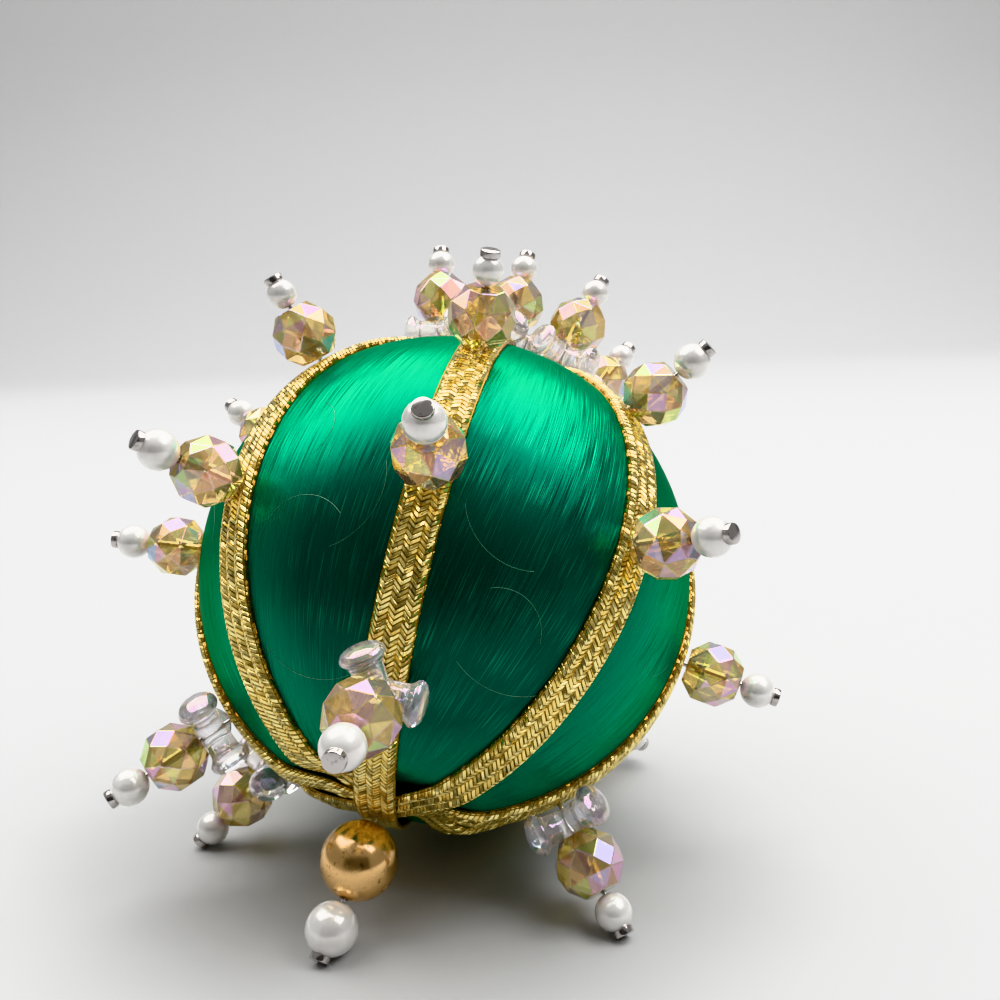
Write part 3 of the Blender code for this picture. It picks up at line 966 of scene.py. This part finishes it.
def crystal_mesh(edge_width):
    """A faceted bead with worn edges and a bore through it."""
    bm = bmesh.new()
    for height, radius, half_steps in CRYSTAL_RINGS:
        turn = Matrix.Rotation(half_steps * math.pi / CRYSTAL_SIDES, 4, "Z")
        lift = Matrix.Translation((0.0, 0.0, height * CRYSTAL_DIAMETER))
        bmesh.ops.create_circle(bm, segments=CRYSTAL_SIDES, radius=radius * CRYSTAL_DIAMETER,
                                matrix=lift @ turn)
    bmesh.ops.convex_hull(bm, input=bm.verts)
    loose = [edge for edge in bm.edges if not edge.link_faces]
    bmesh.ops.delete(bm, geom=loose, context="EDGES")
    bmesh.ops.dissolve_limit(bm, angle_limit=FLAT_ANGLE, verts=bm.verts, edges=bm.edges)
    bmesh.ops.recalc_face_normals(bm, faces=bm.faces)
    bmesh.ops.bevel(bm, geom=bm.edges[:], affect="EDGES", offset=edge_width / 2.0,
                    offset_type="OFFSET", segments=2, profile=0.5, material=-1)
    caps = [face for face in bm.faces if abs(face.normal.z) > LEVEL]
    bmesh.ops.inset_region(bm, faces=caps, thickness=0.0, depth=0.0)
    ends = [face for face in bm.faces if abs(face.normal.z) > LEVEL and face in caps]
    for face in ends:
        middle = Vector((0.0, 0.0, face.calc_center_median().z))
        for vert in face.verts:
            vert.co = middle + (vert.co - middle).normalized() * BORE_RADIUS
    rims = [edge for face in ends for edge in face.edges]
    bmesh.ops.delete(bm, geom=ends, context="FACES_ONLY")
    bmesh.ops.bridge_loops(bm, edges=rims)
    bmesh.ops.recalc_face_normals(bm, faces=bm.faces)
    return to_mesh("crystal", bm)


def tinted_copy(mesh, matrix, seed):
    """A crystal in its place, each facet with its own share of the coating's tints."""
    copy = placed_copy(mesh, matrix)
    chance = random.Random(seed)
    facet = copy.attributes.new("facet", "FLOAT", "FACE")
    facet.data.foreach_set("value", [chance.random() for _ in copy.polygons])
    return copy


class PINBALL_OT_string_crystals(bpy.types.Operator):
    """String a faceted crystal on each pin"""

    bl_idname = "pin_ball.string_crystals"
    bl_label = "String Crystals"

    def execute(self, context):
        settings = context.scene.pin_ball.beads
        master = crystal_mesh(settings.edge_width)
        material = crystal_material(settings)
        for index, stack in enumerate(STACKS):
            matrix = stack_frame(stack) @ lifted(stack_heights(stack)[1])
            add_piece(f"faceted_{stack.name}", tinted_copy(master, matrix, index), material,
                      "amber_crystal", stack_node(stack, "crystal"))
        bpy.data.meshes.remove(master)
        return {"FINISHED"}


# The three-lobed beads

def tri_mesh():
    """Three trumpet-shaped lobes with domed ends round a short hub, with a bore through it."""
    profile = [(radius * MM, TRI_REACH - inward * MM) for radius, inward in LOBE_PROFILE]
    profile += [(LOBE_ROOT_RADIUS, LOBE_ROOT), (0.0, LOBE_ROOT)]
    lobe = to_mesh("lobe", spun(profile, LOBE_SIDES))
    rim = TRI_HUB_RADIUS - TRI_BEVEL
    side = TRI_HALF - TRI_BEVEL
    hub_profile = [(BORE_RADIUS, TRI_HALF), (rim, TRI_HALF), (TRI_HUB_RADIUS, side),
                   (TRI_HUB_RADIUS, -side), (rim, -TRI_HALF), (BORE_RADIUS, -TRI_HALF)]
    hub = add_object("hub", to_mesh("hub", spun(hub_profile, LOBE_SIDES, closed=True)))
    lobes = []
    for arm in range(TRI_ARMS):
        turn = Matrix.Rotation(arm * FULL_TURN / TRI_ARMS, 4, "Z")
        item = add_object(f"lobe_{arm}", lobe)
        item.matrix_world = turn @ Matrix.Rotation(math.pi / 2.0, 4, "Y")
        union = hub.modifiers.new("Union", "BOOLEAN")
        union.operation = "UNION"
        union.solver = "EXACT"
        union.object = item
        lobes.append(item)
    remesh = hub.modifiers.new("Remesh", "REMESH")
    remesh.mode = "VOXEL"
    remesh.voxel_size = TRI_VOXEL
    fair = hub.modifiers.new("Smooth", "SMOOTH")
    fair.factor = 0.5
    fair.iterations = 3
    mesh = evaluated_mesh(hub)
    for item in lobes:
        bpy.data.objects.remove(item)
    bpy.data.meshes.remove(lobe)
    mesh.shade_smooth()
    return mesh


class PINBALL_OT_string_tri_beads(bpy.types.Operator):
    """String the clear three-lobed beads under their crystals"""

    bl_idname = "pin_ball.string_tri_beads"
    bl_label = "String Three-Lobed Beads"

    def execute(self, context):
        settings = context.scene.pin_ball.beads
        master = tri_mesh()
        material = clear_material(settings)
        for stack in STACKS:
            if stack.tri_turn is not None:
                matrix = stack_frame(stack) @ lifted(stack_heights(stack)[0], stack.tri_turn)
                add_piece(f"three_lobed_{stack.name}", placed_copy(master, matrix), material,
                          "clear_bead", stack_node(stack, "tri_bead"))
        bpy.data.meshes.remove(master)
        return {"FINISHED"}


# The pearls, the pins and the gold bead

def bored_ball(diameter, middle, sides, steps, matrix):
    """A round bead in its place, with a bore through it."""
    radius = diameter / 2.0
    start = math.asin(BORE_RADIUS / radius)
    bm = spun(arc(radius, middle, start, math.pi - start, steps), sides, closed=True)
    move(bm, matrix)
    return to_mesh("bored_ball", bm, 60.0)


def pin_mesh(pearl, middle, matrix):
    """A pin with a flat bevelled head, cut level where it meets the floor."""
    head_top = middle + pearl / 2.0 + PIN_HEAD_RISE
    seat = middle + pearl / 2.0 - PIN_HEAD_SINK
    tip = middle + pearl / 2.0 - PIN_LENGTH
    rim = PIN_HEAD_RADIUS - PIN_BEVEL
    corner = 0.3 * PIN_BEVEL
    profile = [
        (0.0, head_top), (rim, head_top), (PIN_HEAD_RADIUS - corner, head_top - corner),
        (PIN_HEAD_RADIUS, head_top - PIN_BEVEL), (PIN_HEAD_RADIUS, seat + PIN_BEVEL), (rim, seat),
        (PIN_RADIUS, seat), (PIN_RADIUS, tip + PIN_POINT), (0.0, tip),
    ]
    bm = spun(profile, PIN_SIDES)
    move(bm, matrix)
    cut = bmesh.ops.bisect_plane(bm, geom=whole(bm), plane_co=ORIGIN, plane_no=UP,
                                 clear_inner=True)
    edges = [item for item in cut["geom_cut"] if isinstance(item, bmesh.types.BMEdge)]
    if edges:
        bmesh.ops.holes_fill(bm, edges=edges, sides=0)
    bmesh.ops.recalc_face_normals(bm, faces=bm.faces)
    return to_mesh("pin", bm, 40.0)


class PINBALL_OT_set_pins(bpy.types.Operator):
    """Set a pin and its pearl in each stack, and the pair at the lower pole"""

    bl_idname = "pin_ball.set_pins"
    bl_label = "Set Pins and Pearls"

    def execute(self, context):
        settings = context.scene.pin_ball.beads
        pearl_paint = pearl_material(settings)
        pin_paint = metal_material("pin_steel", settings.pin_colour, roughness=0.14, spots=0.5)
        rows = [(stack.name, stack_frame(stack), stack.pearl * MM, stack_heights(stack)[2],
                 stack_node(stack, "pin")) for stack in STACKS]
        rows.append(("foot", foot_frame(), GOLD_PEARL, foot_pearl_height(), "pin_foot"))
        for name, matrix, pearl, middle, node in rows:
            ball = bored_ball(pearl, middle, PEARL_SIDES, PEARL_STEPS, matrix)
            add_piece(f"pearl_{name}", ball, pearl_paint, "pearl", node)
            add_piece(f"headed_pin_{name}", pin_mesh(pearl, middle, matrix), pin_paint,
                      "pin_steel", node)
        return {"FINISHED"}


class PINBALL_OT_string_gold_bead(bpy.types.Operator):
    """String the gold bead at the lower pole"""

    bl_idname = "pin_ball.string_gold_bead"
    bl_label = "String Gold Bead"

    def execute(self, context):
        settings = context.scene.pin_ball.beads
        ball = bored_ball(GOLD_DIAMETER, GOLD_SEAT, GOLD_SIDES, GOLD_STEPS, foot_frame())
        material = metal_material("old_gold", settings.gold_colour, roughness=0.2, spots=1.0)
        add_piece("gold_bead", ball, material, "old_gold", "gold_bead_foot")
        return {"FINISHED"}


# The stage

def add_light(light, power):
    """A white rectangular light that faces its target."""
    data = bpy.data.lights.new(light.name, "AREA")
    data.shape = "RECTANGLE"
    data.size, data.size_y = light.size
    data.energy = power
    item = add_object(light.name, data)
    item.location = light.place
    ray = Vector(light.target) - Vector(light.place)
    item.rotation_euler = ray.to_track_quat("-Z", "Y").to_euler()


def add_to_stage(name, bm, smooth_degrees, material):
    mesh = to_mesh(name, bm, smooth_degrees)
    mesh.materials.append(material)
    item = add_object(name, mesh)
    return item


def add_backdrop(settings):
    """A floor that curves up into a wall behind the ball."""
    bm = bmesh.new()
    bend_start = WALL_PLACE - BEND_RADIUS
    profile = [(FLOOR_FRONT, 0.0), (bend_start, 0.0)]
    for step in range(1, BEND_STEPS + 1):
        angle = math.pi / 2.0 * step / BEND_STEPS
        profile.append((bend_start + BEND_RADIUS * math.sin(angle),
                        BEND_RADIUS - BEND_RADIUS * math.cos(angle)))
    profile.append((WALL_PLACE, WALL_HEIGHT))
    points = [bm.verts.new((-FLOOR_HALF_WIDTH, y, z)) for y, z in profile]
    edges = [bm.edges.new(pair) for pair in zip(points, points[1:])]
    swept = bmesh.ops.extrude_edge_only(bm, edges=edges)["geom"]
    verts = [item for item in swept if isinstance(item, bmesh.types.BMVert)]
    bmesh.ops.translate(bm, vec=(2.0 * FLOOR_HALF_WIDTH, 0.0, 0.0), verts=verts)
    bmesh.ops.recalc_face_normals(bm, faces=bm.faces)
    if bm.faces[:][0].normal.z < 0.0:
        bmesh.ops.reverse_faces(bm, faces=bm.faces)
    add_to_stage("backdrop", bm, 30.0, stage_material(settings))


def add_dark_screen(settings):
    """The dark side of the room, behind the camera. Only light and reflections see it."""
    bm = bmesh.new()
    place = Matrix.Translation(SCREEN_MIDDLE) @ Matrix.Rotation(math.pi / 2.0, 4, "X")
    bmesh.ops.create_grid(bm, x_segments=1, y_segments=1, size=0.5,
                          matrix=place @ Matrix.Diagonal((*SCREEN_SIZE, 1.0, 1.0)))
    screen = add_to_stage("dark_screen", bm, None, screen_material(settings))
    screen.visible_camera = False


def add_camera():
    """The camera where the photograph was taken from."""
    data = bpy.data.cameras.new("camera")
    data.sensor_width = SENSOR_WIDTH
    data.lens = FOCAL_PIXELS / FRAME_PIXELS * SENSOR_WIDTH
    data.clip_start = CLIP_START
    data.clip_end = CLIP_END
    camera = add_object("camera", data)
    look = Matrix.Rotation(math.pi / 2.0 + CAMERA_PITCH, 4, "X")
    place = Matrix.Translation(BALL_CENTRE + CAMERA_OFFSET * BALL_RADIUS)
    camera.matrix_world = place @ look @ Matrix.Rotation(CAMERA_ROLL, 4, "Z")
    bpy.context.scene.camera = camera


def set_room_light(settings):
    """The even light from all round, and the way that the render's colours are shown."""
    world = bpy.data.worlds.new("room")
    world.use_nodes = True
    background = world.node_tree.nodes["Background"]
    background.inputs["Color"].default_value = (1.0, 1.0, 1.0, 1.0)
    background.inputs["Strength"].default_value = settings.world_light
    bpy.context.scene.world = world
    bpy.context.scene.view_settings.view_transform = "Khronos PBR Neutral"


class PINBALL_OT_set_stage(bpy.types.Operator):
    """Set the pale floor, the camera and the studio lights"""

    bl_idname = "pin_ball.set_stage"
    bl_label = "Set Stage"

    def execute(self, context):
        settings = context.scene.pin_ball.stage
        add_backdrop(settings)
        add_dark_screen(settings)
        add_camera()
        set_room_light(settings)
        for light in LIGHTS:
            add_light(light, getattr(settings, f"{light.name}_power"))
        return {"FINISHED"}


class PINBALL_PT_panel(bpy.types.Panel):
    """The steps that dress the ball"""

    bl_idname = "PINBALL_PT_panel"
    bl_label = "Pin Ball"
    bl_space_type = "VIEW_3D"
    bl_region_type = "UI"
    bl_category = "Pin Ball"

    def draw(self, context):
        settings = context.scene.pin_ball
        for name in ("ball", "braid", "beads", "stage"):
            box = self.layout.box()
            box.label(text=name.title())
            group = getattr(settings, name)
            for key in group.bl_rna.properties.keys():
                if key not in {"rna_type", "name"}:
                    box.prop(group, key)
        for step in STEPS:
            self.layout.operator(step.bl_idname)


STEPS = (
    PINBALL_OT_wind_ball,
    PINBALL_OT_plait_braid,
    PINBALL_OT_string_crystals,
    PINBALL_OT_string_tri_beads,
    PINBALL_OT_set_pins,
    PINBALL_OT_string_gold_bead,
    PINBALL_OT_set_stage,
)
GROUPS = (BallSettings, BraidSettings, BeadSettings, StageSettings, PinBallSettings)


def register():
    for item in (*GROUPS, *STEPS, PINBALL_PT_panel):
        bpy.utils.register_class(item)
    bpy.types.Scene.pin_ball = PointerProperty(type=PinBallSettings)


def unregister():
    del bpy.types.Scene.pin_ball
    for item in reversed((*GROUPS, *STEPS, PINBALL_PT_panel)):
        bpy.utils.unregister_class(item)


def main():
    """Dresses the ball and sets the stage."""
    register()
    bpy.ops.pin_ball.wind_ball()
    bpy.ops.pin_ball.plait_braid()
    bpy.ops.pin_ball.string_crystals()
    bpy.ops.pin_ball.string_tri_beads()
    bpy.ops.pin_ball.set_pins()
    bpy.ops.pin_ball.string_gold_bead()
    bpy.ops.pin_ball.set_stage()


if __name__ == "__main__":
    main()
